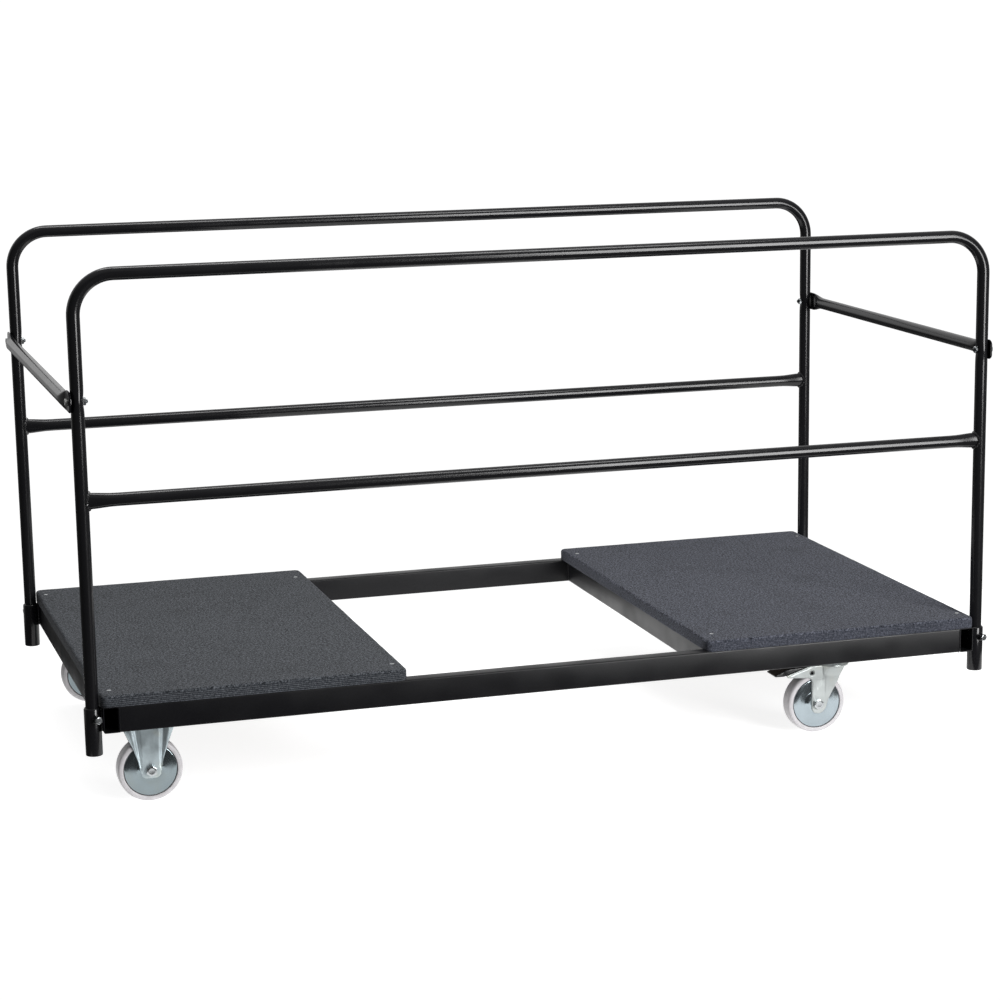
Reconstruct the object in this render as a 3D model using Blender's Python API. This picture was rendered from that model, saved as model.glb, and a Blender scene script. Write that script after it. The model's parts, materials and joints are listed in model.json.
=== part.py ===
"""Folding-table dolly.

A welded base of rectangular tube carries two carpeted end decks. A cage of two
tube hoops, joined by two end bars, drops into four corner sockets. Two rigid
casters stand at the left end and two swivel casters with brakes at the right.

Metres, +Z up. X runs along the length, with the rigid casters at -X, and the
front is at -Y. The origin is on the floor under the middle of the base.
"""

import math

import bmesh
import bpy
from mathutils import Vector

GAP = 0.0003  # left wherever two pieces touch

# Base frame
BASE_X = 0.894  # outer face of an end rail
BASE_Y = 0.474  # outer face of a long rail
BASE_Z = 0.163  # underside of the frame
RAIL_WIDTH, RAIL_HEIGHT, RAIL_WALL, RAIL_CORNER = 0.030, 0.050, 0.002, 0.0035
CROSS_X = 0.320  # inner face of a cross rail
CHANNEL_WIDTH, CHANNEL_HEIGHT, CHANNEL_WALL = 0.120, 0.030, 0.004

# Corner sockets and their set bolts
SOCKET_OD, SOCKET_WALL = 0.032, 0.0025
SOCKET_BOTTOM, SOCKET_TOP = 0.118, 0.210
SET_BOLT_Z = 0.190
SET_BOLT_TURN = math.radians(17)  # how far a set bolt points away from the Y axis

# Rail cage
TUBE_D, TUBE_WALL, TUBE_SIDES = 0.025, 0.0015, 16
LEG_X = BASE_X + GAP + SOCKET_OD / 2
LEG_Y = 0.450
LEG_BOTTOM = 0.121
HOOP_Z = 1.015  # axis of a hoop's top rail
BEND_RADIUS, BEND_STEPS = 0.075, 6
MID_RAIL_Z = 0.600
END_BAR_Z = 0.785
TAB_THICKNESS, TAB_HEIGHT, TAB_REACH = 0.004, 0.037, 0.014  # reach: past the bolt
TAB_START, TUBE_END = 0.022, 0.062  # how far before the bolt the flat and the taper begin

# Decks
DECK_INNER_X, DECK_OUTER_X = 0.308, 0.8965
DECK_TOP = 0.235
CARPET, HEM = 0.003, 0.045
DECK_CORNER = 0.012

# Metric bolts: diameter, across flats, head height, nut height
M8 = (0.008, 0.013, 0.0053, 0.0045)
M12 = (0.012, 0.018, 0.0075, 0.0100)

# Casters, in each caster's own frame: origin on the floor under the wheel or the kingpin
RIGID_X, SWIVEL_X, CASTER_Y = -0.798, 0.617, 0.380
TRAIL = 0.038  # from the kingpin to the axle
WHEEL_R, TYRE_HALF, SHOULDER = 0.0625, 0.0175, 0.004
DISC_R, DISC_HALF, DISC_STEEL, HUB_R, HUB_HALF = 0.052, 0.0166, 0.0015, 0.014, 0.0194
WHEEL_STEPS = 24
FORK_INNER, FORK_STEEL = 0.020, 0.003
PLATE_X, PLATE_Y, PLATE_STEEL = 0.105, 0.085, 0.004
CROWN_Z, CROWN_R, CROWN_STEEL = 0.143, 0.036, 0.005
KINGPIN_R = 0.006
PIVOT_X, PIVOT_Z, PIVOT_R = -0.0130, 0.1285, 0.003  # brake pivot, from the axle


def material(name, colour, roughness, metallic):
    mat = bpy.data.materials.get(name) or bpy.data.materials.new(name)
    mat.use_nodes = True
    shader = mat.node_tree.nodes["Principled BSDF"]
    shader.inputs["Base Color"].default_value = (*colour, 1)
    shader.inputs["Roughness"].default_value = roughness
    shader.inputs["Metallic"].default_value = metallic
    return mat


def black_paint():
    return material("black_paint", (0.012, 0.012, 0.013), 0.25, 0.0)


def zinc():
    return material("zinc", (0.62, 0.66, 0.68), 0.30, 1.0)


# Section outlines, as points (u, v)


def circle(diameter, sides=TUBE_SIDES):
    turns = [2 * math.pi * (i + 0.5) / sides for i in range(sides)]
    return [(diameter / 2 * math.cos(t), diameter / 2 * math.sin(t)) for t in turns]


def rounded_box(width, height, radius, steps=3):
    points = []
    for quarter, (su, sv) in enumerate(((1, 1), (-1, 1), (-1, -1), (1, -1))):
        centre_u, centre_v = su * (width / 2 - radius), sv * (height / 2 - radius)
        for i in range(steps + 1):
            turn = math.pi / 2 * (quarter + i / steps)
            points.append((centre_u + radius * math.cos(turn), centre_v + radius * math.sin(turn)))
    return points


def flattened(thickness, height, sides=TUBE_SIDES):
    """A tube section squeezed to this thickness: two straight sides and two round ends."""
    straight = (height - thickness) / 2
    return [(u, v + math.copysign(straight, v)) for u, v in circle(thickness, sides)]


def hexagon(across_flats):
    """Twelve points: the corners and the middles of the flats."""
    points = []
    for i in range(12):
        radius = across_flats / 2 / (math.cos(math.pi / 6) if i % 2 else 1)
        points.append((radius * math.cos(math.pi / 6 * i), radius * math.sin(math.pi / 6 * i)))
    return points


# Building blocks


def skin(name, rings, mat, wrap=False, parent=None):
    """One object whose surface joins each ring of points to the next.

    With wrap the last ring joins the first; otherwise the end rings are filled.
    """
    mesh = bpy.data.meshes.new(name)
    bm = bmesh.new()
    loops = [[bm.verts.new(point) for point in ring] for ring in rings]
    pairs = list(zip(loops, loops[1:] + loops[:1]))
    for near, far in pairs if wrap else pairs[:-1]:
        for i, vert in enumerate(near):
            bm.faces.new((near[i - 1], vert, far[i], far[i - 1]))
    if not wrap:
        bm.faces.new(loops[0])
        bm.faces.new(loops[-1])
    bmesh.ops.recalc_face_normals(bm, faces=bm.faces)
    bm.to_mesh(mesh)
    bm.free()
    mesh.materials.append(mat)
    mesh.shade_smooth()
    mesh.set_sharp_from_angle(angle=math.radians(40))
    obj = bpy.data.objects.new(name, mesh)
    obj.parent = parent
    bpy.context.scene.collection.objects.link(obj)
    return obj


def ring_at(point, u_axis, v_axis, section):
    return [point + u * u_axis + v * v_axis for u, v in section]


def run(start, end):
    """The stations of a straight piece: its two ends, each with the section's two axes."""
    along = (end - start).normalized()
    near_side = Vector((0, 1, 0)) if abs(along.y) < 0.9 else Vector((1, 0, 0))
    up = along.cross(near_side).normalized()
    side = up.cross(along)
    return [(start, side, up), (end, side, up)]


def bar(name, stations, sections, mat, parent=None):
    """A solid piece with one section for each station."""
    rings = [ring_at(*station, section) for station, section in zip(stations, sections)]
    return skin(name, rings, mat, parent=parent)


def tube(name, stations, outers, inners, mat, parent=None):
    """A hollow piece, open at both ends. Each ring runs out along it and back inside."""
    outside = [ring_at(*station, section) for station, section in zip(stations, outers)]
    inside = [ring_at(*station, section) for station, section in zip(stations, inners)]
    there_and_back = outside + inside[::-1]
    rings = [[ring[i] for ring in there_and_back] for i in range(len(outers[0]))]
    return skin(name, rings, mat, wrap=True, parent=parent)


def turned(name, profile, mat, steps=WHEEL_STEPS, parent=None, axis="Y"):
    """A closed profile (radius, height) turned round an axis."""
    rings = []
    for i in range(steps):
        c, s = math.cos(2 * math.pi * i / steps), math.sin(2 * math.pi * i / steps)
        if axis == "Y":
            rings.append([Vector((r * c, h, r * s)) for r, h in profile])
        else:
            rings.append([Vector((r * c, r * s, h)) for r, h in profile])
    return skin(name, rings, mat, wrap=True, parent=parent)


def block(name, low, high, mat, parent=None):
    corners = [(low[0], low[1]), (high[0], low[1]), (high[0], high[1]), (low[0], high[1])]
    rings = [[Vector((x, y, z)) for x, y in corners] for z in (low[2], high[2])]
    return skin(name, rings, mat, parent=parent)


def outline_block(name, outline, low_y, high_y, mat, parent=None):
    """An outline (x, z) extruded along Y."""
    rings = [[Vector((x, y, z)) for x, z in outline] for y in (low_y, high_y)]
    return skin(name, rings, mat, parent=parent)


def combine(body, helper, operation):
    """Unites the helper with the body or cuts it away, and keeps it as a hidden guide."""
    helper.hide_render = True
    helper.display_type = "WIRE"
    modifier = body.modifiers.new(helper.name, "BOOLEAN")
    modifier.operation = operation
    modifier.object = helper


def drill(body, start, end, diameter, parent=None):
    """Cuts a round hole through the body from start to end."""
    cutter = bar(body.name + "_hole", run(start, end), [circle(diameter)] * 2, zinc(), parent)
    combine(body, cutter, "DIFFERENCE")


def hex_bolt(name, size, length, seat, direction, parent=None):
    """A hexagon bolt. Seat is the middle of the head's underside, direction points to the head."""
    diameter, across, head, _ = size
    shank, hexa = circle(diameter, 12), hexagon(across)
    stations = [run(seat + direction * t, seat + direction * (t + 1))[0] for t in (-length, 0, 0, head)]
    return bar(name, stations, [shank, shank, hexa, hexa], zinc(), parent)


def hex_nut(name, size, seat, direction, mat, parent=None, height=None):
    """A hexagon nut on its seat, standing up along direction."""
    diameter, across, _, nut_height = size
    stations = run(seat, seat + direction * (height or nut_height))
    bore = circle(diameter + 2 * GAP, 12)
    return tube(name, stations, [hexagon(across)] * 2, [bore] * 2, mat, parent)


def empty(name, location, parent=None):
    obj = bpy.data.objects.new(name, None)
    obj.location = location
    obj.parent = parent
    bpy.context.scene.collection.objects.link(obj)
    return obj


# Base


def box_tube(name, start, end):
    """A rectangular tube on edge, between the middles of its end faces."""
    outer = rounded_box(RAIL_WIDTH, RAIL_HEIGHT, RAIL_CORNER)
    inner = rounded_box(
        RAIL_WIDTH - 2 * RAIL_WALL, RAIL_HEIGHT - 2 * RAIL_WALL, RAIL_CORNER - RAIL_WALL
    )
    return tube(name, run(start, end), [outer] * 2, [inner] * 2, black_paint())


def channel(name, x):
    """An upturned channel between the long rails, with the casters bolted under its web."""
    half, web = CHANNEL_WIDTH / 2, CHANNEL_WALL
    outline = [
        (x - half, BASE_Z),
        (x + half, BASE_Z),
        (x + half, BASE_Z + CHANNEL_HEIGHT),
        (x + half - web, BASE_Z + CHANNEL_HEIGHT),
        (x + half - web, BASE_Z + web),
        (x - half + web, BASE_Z + web),
        (x - half + web, BASE_Z + CHANNEL_HEIGHT),
        (x - half, BASE_Z + CHANNEL_HEIGHT),
    ]
    reach = BASE_Y - RAIL_WIDTH - GAP
    return outline_block(name, outline, -reach, reach, black_paint())


def base():
    middle_z = BASE_Z + RAIL_HEIGHT / 2
    end_x = BASE_X - RAIL_WIDTH / 2
    long_y = BASE_Y - RAIL_WIDTH / 2
    long_reach = BASE_X - RAIL_WIDTH - GAP
    cross_reach = BASE_Y - RAIL_WIDTH - GAP
    for name, sign in (("front", -1), ("rear", 1)):
        left, right = (Vector((x, sign * long_y, middle_z)) for x in (-long_reach, long_reach))
        box_tube(name + "_rail", left, right)
    for name, sign in (("left", -1), ("right", 1)):
        front, rear = (Vector((sign * end_x, y, middle_z)) for y in (-BASE_Y, BASE_Y))
        box_tube(name + "_end_rail", front, rear)
        x = sign * (CROSS_X + RAIL_WIDTH / 2)
        front, rear = (Vector((x, y, middle_z)) for y in (-cross_reach, cross_reach))
        box_tube(name + "_cross_rail", front, rear)
    channel("left_caster_channel", RIGID_X)
    channel("right_caster_channel", SWIVEL_X)


def socket(corner, side, face):
    """A corner socket with its welded nut and its set bolt, which points away from the frame."""
    x, y = side * LEG_X, face * LEG_Y
    stations = run(Vector((x, y, SOCKET_BOTTOM)), Vector((x, y, SOCKET_TOP)))
    bore = circle(SOCKET_OD - 2 * SOCKET_WALL, 20)
    body = tube("socket_" + corner, stations, [circle(SOCKET_OD, 20)] * 2, [bore] * 2, black_paint())

    # The front bolts lean to +X and the rear ones to -X: the frame is the same turned half round.
    direction = Vector((-face * math.sin(SET_BOLT_TURN), face * math.cos(SET_BOLT_TURN), 0))
    axis = Vector((x, y, SET_BOLT_Z))
    nut_foot, nut_face = SOCKET_OD / 2 - 0.001, SOCKET_OD / 2 + 0.0065
    diameter = M8[0]
    nut = bar(
        "socket_nut_" + corner,
        run(axis + direction * nut_foot, axis + direction * nut_face),
        [hexagon(M8[1])] * 2,
        black_paint(),
    )
    combine(body, nut, "UNION")
    drill(body, axis, axis + direction * 0.03, diameter + 2 * GAP)
    length = nut_face + GAP - (TUBE_D / 2 + GAP)
    hex_bolt("set_bolt_" + corner, M8, length, axis + direction * (nut_face + GAP), direction)


# Rail cage


def hoop_stations(y):
    """Up the left leg, round both bends and down the right leg."""
    depth = Vector((0, 1, 0))
    stations = [(Vector((-LEG_X, y, LEG_BOTTOM)), Vector((-1, 0, 0)), depth)]
    for side, first, last in ((-1, 180, 90), (1, 90, 0)):
        centre = Vector((side * (LEG_X - BEND_RADIUS), y, HOOP_Z - BEND_RADIUS))
        for i in range(BEND_STEPS + 1):
            turn = math.radians(first + (last - first) * i / BEND_STEPS)
            outward = Vector((math.cos(turn), 0, math.sin(turn)))
            stations.append((centre + BEND_RADIUS * outward, outward, depth))
    stations.append((Vector((LEG_X, y, LEG_BOTTOM)), Vector((1, 0, 0)), depth))
    return stations


def hoop(name, face, cage):
    y = face * LEG_Y
    stations = hoop_stations(y)
    outer, inner = circle(TUBE_D), circle(TUBE_D - 2 * TUBE_WALL)
    count = len(stations)
    body = tube(name + "_hoop", stations, [outer] * count, [inner] * count, black_paint(), cage)
    for side in (-1, 1):
        start = Vector((side * (LEG_X - TUBE_D), y, END_BAR_Z))
        end = Vector((side * (LEG_X + TUBE_D), y, END_BAR_Z))
        drill(body, start, end, M8[0] + 0.001, cage)

    # The mid rail's ends are coped to fit round the legs.
    start, end = Vector((-LEG_X + 0.004, y, MID_RAIL_Z)), Vector((LEG_X - 0.004, y, MID_RAIL_Z))
    mid = tube(name + "_mid_rail", run(start, end), [outer] * 2, [inner] * 2, black_paint(), cage)
    for side in (-1, 1):
        leg = Vector((side * LEG_X, y, MID_RAIL_Z))
        reach = Vector((0, 0, TUBE_D))
        drill(mid, leg - reach, leg + reach, TUBE_D + 2 * GAP, cage)


def end_bar(name, side, cage):
    """A tube with both ends crushed flat against the outer faces of the legs."""
    tab_x = side * (LEG_X + TUBE_D / 2 + GAP + TAB_THICKNESS / 2)
    bar_x = tab_x + side * 0.002
    chamfer = 0.006
    end = LEG_Y + TAB_REACH
    # Each row: distance from the middle, bar centre, thickness, height
    half = [
        (LEG_Y - TUBE_END, bar_x, TUBE_D, TUBE_D),
        (LEG_Y - TUBE_END + 0.014, bar_x, 0.020, 0.0290),
        (LEG_Y - TAB_START - 0.010, tab_x, 0.0075, 0.0350),
        (LEG_Y - TAB_START, tab_x, TAB_THICKNESS, TAB_HEIGHT),
        (end - chamfer, tab_x, TAB_THICKNESS, TAB_HEIGHT),
        (end, tab_x, TAB_THICKNESS, TAB_HEIGHT - 2 * chamfer),
    ]
    rows = [(-y, x, thick, high) for y, x, thick, high in reversed(half)] + half
    thin, high_axis = Vector((1, 0, 0)), Vector((0, 0, 1))
    stations = [(Vector((x, y, END_BAR_Z)), thin, high_axis) for y, x, _, _ in rows]
    outers = [flattened(thick, high) for _, _, thick, high in rows]
    inners = [flattened(thick - 2 * TUBE_WALL, high - 2 * TUBE_WALL) for _, _, thick, high in rows]
    body = tube(name + "_end_bar", stations, outers, inners, black_paint(), cage)
    for face, corner in ((-1, "front_" + name), (1, "rear_" + name)):
        outward = Vector((side, 0, 0))
        leg = Vector((side * LEG_X, face * LEG_Y, END_BAR_Z))
        drill(body, leg, leg + outward * 0.04, M8[0] + 0.001, cage)
        seat = leg + outward * (TUBE_D / 2 + TAB_THICKNESS + 2 * GAP)
        hex_bolt("end_bar_bolt_" + corner, M8, 0.0366, seat, outward, cage)
        foot = leg - outward * (TUBE_D / 2 + GAP)
        hex_nut("end_bar_nut_" + corner, M8, foot, -outward, zinc(), cage)


def rail_cage():
    cage = empty("rail_cage", (0, 0, 0))
    hoop("front", -1, cage)
    hoop("rear", 1, cage)
    end_bar("left", -1, cage)
    end_bar("right", 1, cage)


# Decks


def deck(name, side):
    """A board in a carpet that covers its top and edges and is turned under it."""
    carpet = material("carpet", (0.085, 0.090, 0.105), 1.0, 0.0)
    wood = material("plywood", (0.55, 0.40, 0.24), 0.7, 0.0)
    length, width = DECK_OUTER_X - DECK_INNER_X, 2 * BASE_Y
    centre = Vector((side * (DECK_INNER_X + DECK_OUTER_X) / 2, 0, 0))
    bottom = BASE_Z + RAIL_HEIGHT + GAP
    inside_low, inside_high = bottom + CARPET, DECK_TOP - CARPET
    x_axis, y_axis, z_axis = Vector((1, 0, 0)), Vector((0, 1, 0)), Vector((0, 0, 1))

    def level(inset, z):
        radius = max(DECK_CORNER - inset, 0.003)
        section = rounded_box(length - 2 * inset, width - 2 * inset, radius)
        return ring_at(centre + z * z_axis, x_axis, y_axis, section)

    # From the ceiling inside, down and out round the hem, up the edge and over the top
    cover = [
        level(CARPET, inside_high),
        level(CARPET, inside_low),
        level(HEM, inside_low),
        level(HEM, bottom),
        level(0.0015, bottom),
        level(0, bottom + 0.002),
        level(0, DECK_TOP - 0.005),
        level(0.0015, DECK_TOP - 0.0015),
        level(0.005, DECK_TOP),
    ]
    skin(name + "_deck_carpet", cover, carpet)
    board_inset = CARPET + GAP
    board = [level(board_inset, inside_low + GAP), level(board_inset, inside_high - GAP)]
    skin(name + "_deck_board", board, wood)


# Casters


def wheel(corner, location, parent):
    """A tyre on a steel core, turned round the axle, with its axle bolt and nut."""
    nylon = material("grey_tyre", (0.62, 0.60, 0.60), 0.45, 0.0)
    axle = empty("axle_" + corner, location, parent)
    edge, web = TYRE_HALF, DISC_HALF - DISC_STEEL - GAP
    lip, root = DISC_R + GAP, 0.030
    tyre = [
        (root, -web),
        (lip, -web),
        (lip, -edge),
        (WHEEL_R - SHOULDER, -edge),
        (WHEEL_R, -edge + SHOULDER),
        (WHEEL_R, edge - SHOULDER),
        (WHEEL_R - SHOULDER, edge),
        (lip, edge),
        (lip, web),
        (root, web),
    ]
    turned("tyre_" + corner, tyre, nylon, parent=axle)
    bore = M12[0] / 2 + GAP
    inner, outer = DISC_HALF - DISC_STEEL, DISC_HALF
    core = [
        (bore, -HUB_HALF),
        (HUB_R, -HUB_HALF),
        (HUB_R, -outer),
        (DISC_R, -outer),
        (DISC_R, -inner),
        (HUB_R, -inner),
        (HUB_R, inner),
        (DISC_R, inner),
        (DISC_R, outer),
        (HUB_R, outer),
        (HUB_R, HUB_HALF),
        (bore, HUB_HALF),
    ]
    turned("wheel_core_" + corner, core, zinc(), parent=axle)

    # The bolt's head is on the outer side of the dolly.
    face = -1 if corner.startswith("front") else 1
    outward = Vector((0, face, 0))
    seat = FORK_INNER + FORK_STEEL + GAP
    holder = empty("axle_seat_" + corner, location, parent)
    hex_bolt("axle_bolt_" + corner, M12, 2 * seat + 0.013, outward * seat, outward, holder)
    hex_nut("axle_nut_" + corner, M12, -outward * seat, -outward, zinc(), holder)


def yoke(name, outline, roof_z, mat, parent):
    """Two side plates of this outline (x, z), joined above roof_z."""
    half = FORK_INNER + FORK_STEEL
    body = outline_block(name, outline, -half, half, mat, parent)
    slot = block(
        name + "_slot",
        (-0.15, -FORK_INNER, 0.02),
        (0.15, FORK_INNER, roof_z),
        mat,
        parent,
    )
    combine(body, slot, "DIFFERENCE")
    return body


def arc(centre_x, centre_z, radius, first, last, steps=4):
    """Points (x, z) on an arc between two angles in degrees."""
    turns = [math.radians(first + (last - first) * i / steps) for i in range(steps + 1)]
    return [(centre_x + radius * math.cos(t), centre_z + radius * math.sin(t)) for t in turns]


def rigid_caster(corner, face):
    base_point = empty("rigid_caster_" + corner, (RIGID_X, face * CASTER_Y, 0))
    top = BASE_Z - GAP
    foot = arc(0.009, 0.0565, 0.012, -90, 0)
    right = foot + [(0.0250, 0.084), (0.0475, 0.141), (0.0520, top - PLATE_STEEL / 2)]
    left = [(-x, z) for x, z in reversed(right)]
    fork = yoke("rigid_fork_" + corner, right + left, top - PLATE_STEEL, zinc(), base_point)
    plate = block(
        "rigid_plate_" + corner,
        (-PLATE_X / 2, -PLATE_Y / 2, top - PLATE_STEEL),
        (PLATE_X / 2, PLATE_Y / 2, top),
        zinc(),
        base_point,
    )
    combine(fork, plate, "UNION")
    reach = Vector((0, 0.04, 0))
    axle = Vector((0, 0, WHEEL_R))
    drill(fork, axle - reach, axle + reach, M12[0] + 2 * GAP, base_point)
    wheel(corner, axle, base_point)


def swivel_head(corner, top_point):
    """The fixed half of a swivel caster: top plate with its race, and the kingpin."""
    top = BASE_Z - GAP
    under = top - PLATE_STEEL
    race_low = CROWN_Z + CROWN_STEEL + 2 * GAP
    plate = block(
        "swivel_plate_" + corner,
        (-PLATE_X / 2, -PLATE_Y / 2, under),
        (PLATE_X / 2, PLATE_Y / 2, top),
        zinc(),
        top_point,
    )
    race_profile = [
        (0.010, under + 0.001),
        (0.034, under + 0.001),
        (0.033, race_low + 0.003),
        (0.028, race_low),
        (0.010, race_low),
    ]
    race = turned("swivel_race_" + corner, race_profile, zinc(), parent=top_point, axis="Z")
    combine(plate, race, "UNION")
    drill(plate, Vector((0, 0, 0.1)), Vector((0, 0, 0.2)), 2 * (KINGPIN_R + GAP), top_point)

    head, head_r = 0.006, 0.011
    pin = [
        (CROWN_Z - GAP - head, head_r),
        (CROWN_Z - GAP, head_r),
        (CROWN_Z - GAP, KINGPIN_R),
        (top, KINGPIN_R),
    ]
    stations = [run(Vector((0, 0, z)), Vector((0, 0, z + 1)))[0] for z, _ in pin]
    bar("kingpin_" + corner, stations, [circle(2 * radius) for _, radius in pin], zinc(), top_point)


def swivel_fork(corner, swivel):
    """The turning fork: an open arm to the axle, and a brow over the wheel for the brake."""
    arm = [(x - TRAIL, z) for x, z in arc(0.002, 0.0560, 0.0145, -170, -10)]
    front = [(0.0250, 0.072), (0.0430, 0.107), (0.0565, 0.141), (0.0580, CROWN_Z + CROWN_STEEL)]
    back = [
        (0.0030, CROWN_Z + CROWN_STEEL),
        (-0.0205, 0.1430),
        (-0.0700, 0.1270),
        (-0.0660, 0.1220),
        (-0.0227, 0.1180),
        (-0.0157, 0.1150),
        (-0.0127, 0.1080),
    ]
    outline = arm + [(x - TRAIL, z) for x, z in front + back]
    fork = yoke("swivel_fork_" + corner, outline, CROWN_Z, zinc(), swivel)
    crown_points = [(CROWN_Z, CROWN_R), (CROWN_Z + CROWN_STEEL, CROWN_R - 0.002)]
    stations = [run(Vector((0, 0, z)), Vector((0, 0, z + 1)))[0] for z, _ in crown_points]
    crown = bar(
        "swivel_crown_" + corner,
        stations,
        [circle(2 * radius, WHEEL_STEPS) for _, radius in crown_points],
        zinc(),
        swivel,
    )
    combine(fork, crown, "UNION")
    reach = Vector((0, 0.04, 0))
    axle, pivot = Vector((-TRAIL, 0, WHEEL_R)), Vector((PIVOT_X - TRAIL, 0, PIVOT_Z))
    drill(fork, Vector((0, 0, 0.13)), Vector((0, 0, 0.16)), 2 * KINGPIN_R + 0.001, swivel)
    drill(fork, axle - reach, axle + reach, M12[0] + 2 * GAP, swivel)
    drill(fork, pivot - reach, pivot + reach, 2 * PIVOT_R + 0.0008, swivel)


def brake_pedal(corner, swivel):
    """A foot lever on a pin through the fork's brow, built round its pivot."""
    enamel = material("black_enamel", (0.010, 0.010, 0.012), 0.35, 0.0)
    pivot = empty("brake_pivot_" + corner, (PIVOT_X - TRAIL, 0, PIVOT_Z), swivel)
    arm = [
        (-0.0600, -0.0022),
        (-0.0100, -0.0022),
        (0.0000, -0.0028),
        (0.0050, 0.0000),
        (0.0050, 0.0105),
        (-0.0060, 0.0135),
        (-0.0460, 0.0125),
        (-0.0600, 0.0095),
    ]
    pedal = outline_block("brake_pedal_" + corner, arm, -0.0180, 0.0180, enamel, pivot)
    foot_outline = [
        (-0.0820, -0.0020),
        (-0.0590, -0.0022),
        (-0.0590, 0.0098),
        (-0.0680, 0.0070),
        (-0.0820, 0.0008),
    ]
    foot = outline_block("brake_foot_" + corner, foot_outline, -0.0220, 0.0220, enamel, pivot)
    combine(pedal, foot, "UNION")
    reach = Vector((0, FORK_INNER + FORK_STEEL, 0))
    pin = bar("brake_pin_" + corner, run(-reach, reach), [circle(2 * PIVOT_R, 12)] * 2, enamel, pivot)
    combine(pedal, pin, "UNION")


def swivel_caster(corner, face):
    top_point = empty("swivel_caster_" + corner, (SWIVEL_X, face * CASTER_Y, 0))
    swivel_head(corner, top_point)
    swivel = empty("swivel_" + corner, (0, 0, 0), top_point)
    swivel_fork(corner, swivel)
    brake_pedal(corner, swivel)
    wheel(corner, Vector((-TRAIL, 0, WHEEL_R)), swivel)


def main():
    for obj in list(bpy.data.objects):
        bpy.data.objects.remove(obj, do_unlink=True)
    base()
    for corner, side, face in (
        ("front_left", -1, -1),
        ("rear_left", -1, 1),
        ("front_right", 1, -1),
        ("rear_right", 1, 1),
    ):
        socket(corner, side, face)
    rail_cage()
    deck("left", -1)
    deck("right", 1)
    for name, face in (("front", -1), ("rear", 1)):
        rigid_caster(name + "_left", face)
        swivel_caster(name + "_right", face)


main()
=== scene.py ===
"""Looks of the folding-table dolly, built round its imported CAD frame.

Metres, +Z up. +X runs along the length to the swivel casters, -Y is the front.
"""

import json
import math

import bmesh
import bpy
import numpy as np
from mathutils import Matrix, Vector, noise
from mathutils.geometry import delaunay_2d_cdt


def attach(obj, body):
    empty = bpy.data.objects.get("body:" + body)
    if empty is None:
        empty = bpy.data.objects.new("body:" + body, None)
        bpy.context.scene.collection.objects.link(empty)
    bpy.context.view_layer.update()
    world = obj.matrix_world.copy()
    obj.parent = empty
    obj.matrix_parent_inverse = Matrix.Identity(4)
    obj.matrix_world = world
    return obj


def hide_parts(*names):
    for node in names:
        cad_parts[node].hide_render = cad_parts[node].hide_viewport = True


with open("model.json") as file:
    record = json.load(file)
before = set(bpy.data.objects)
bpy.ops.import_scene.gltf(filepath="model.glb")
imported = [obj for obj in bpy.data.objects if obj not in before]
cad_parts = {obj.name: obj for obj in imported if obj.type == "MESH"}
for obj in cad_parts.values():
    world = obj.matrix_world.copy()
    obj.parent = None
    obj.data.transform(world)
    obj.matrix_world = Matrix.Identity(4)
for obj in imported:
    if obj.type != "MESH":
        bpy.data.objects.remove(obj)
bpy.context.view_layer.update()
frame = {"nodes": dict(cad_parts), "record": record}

CHASSIS = "chassis"
X, Y, Z = Vector((1, 0, 0)), Vector((0, 1, 0)), Vector((0, 0, 1))
FACES = (("front", -1), ("rear", 1))
ENDS = (("left", -1), ("right", 1))

# Rail cage
LEG_X, LEG_Y, LEG_FOOT = 0.9103, 0.450, 0.121
TUBE_R, TUBE_WALL = 0.0125, 0.0015
HOOP_TOP, HOOP_BEND = 1.015, 0.075
MID_RAIL_Z, END_BAR_Z = 0.600, 0.785

# Base
SOCKET_R, SOCKET_WALL = 0.016, 0.0025
SET_BOLT_Z, SET_BOLT_LEAN = 0.190, math.radians(17)
RAIL_WIDE, RAIL_TALL, RAIL_WALL, RAIL_Z = 0.030, 0.050, 0.002, 0.188
LONG_RAIL_Y, END_RAIL_X, CROSS_RAIL_X = 0.459, 0.879, 0.335

# Decks
DECK_INNER_X, DECK_OUTER_X, DECK_HALF_Y = 0.308, 0.8965, 0.474
DECK_LOW, DECK_TOP, HEM = 0.2133, 0.2350, 0.045
SCREWS = {
    -1: [(-0.880, 0.419), (-0.875, -0.431), (-0.333, 0.397), (-0.327, -0.425)],
    1: [(0.330, 0.408), (0.339, -0.416), (0.879, -0.428), (0.879, 0.408)],
}

# Casters
RIGID_X, SWIVEL_X, CASTER_Y, TRAIL = -0.798, 0.617, 0.380, 0.038
AXLE_Z, FORK_FACE, STEEL = 0.0625, 0.023, 0.003
PIVOT_X, PIVOT_Z = -0.0130, 0.1285
EDGE_STEPS = (0.0, 0.0003, 0.0009, 0.0018, 0.0030, 0.0042)
DIMPLE = ((-0.0116, 0.1185), (0.0150, 0.1185), (-0.0002, 0.0885))

# Hexagon fasteners: across the flats, and the head's height
M8_ACROSS, M8_HEAD, AXLE_ACROSS = 0.013, 0.0053, 0.0188


# ---- materials


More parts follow.
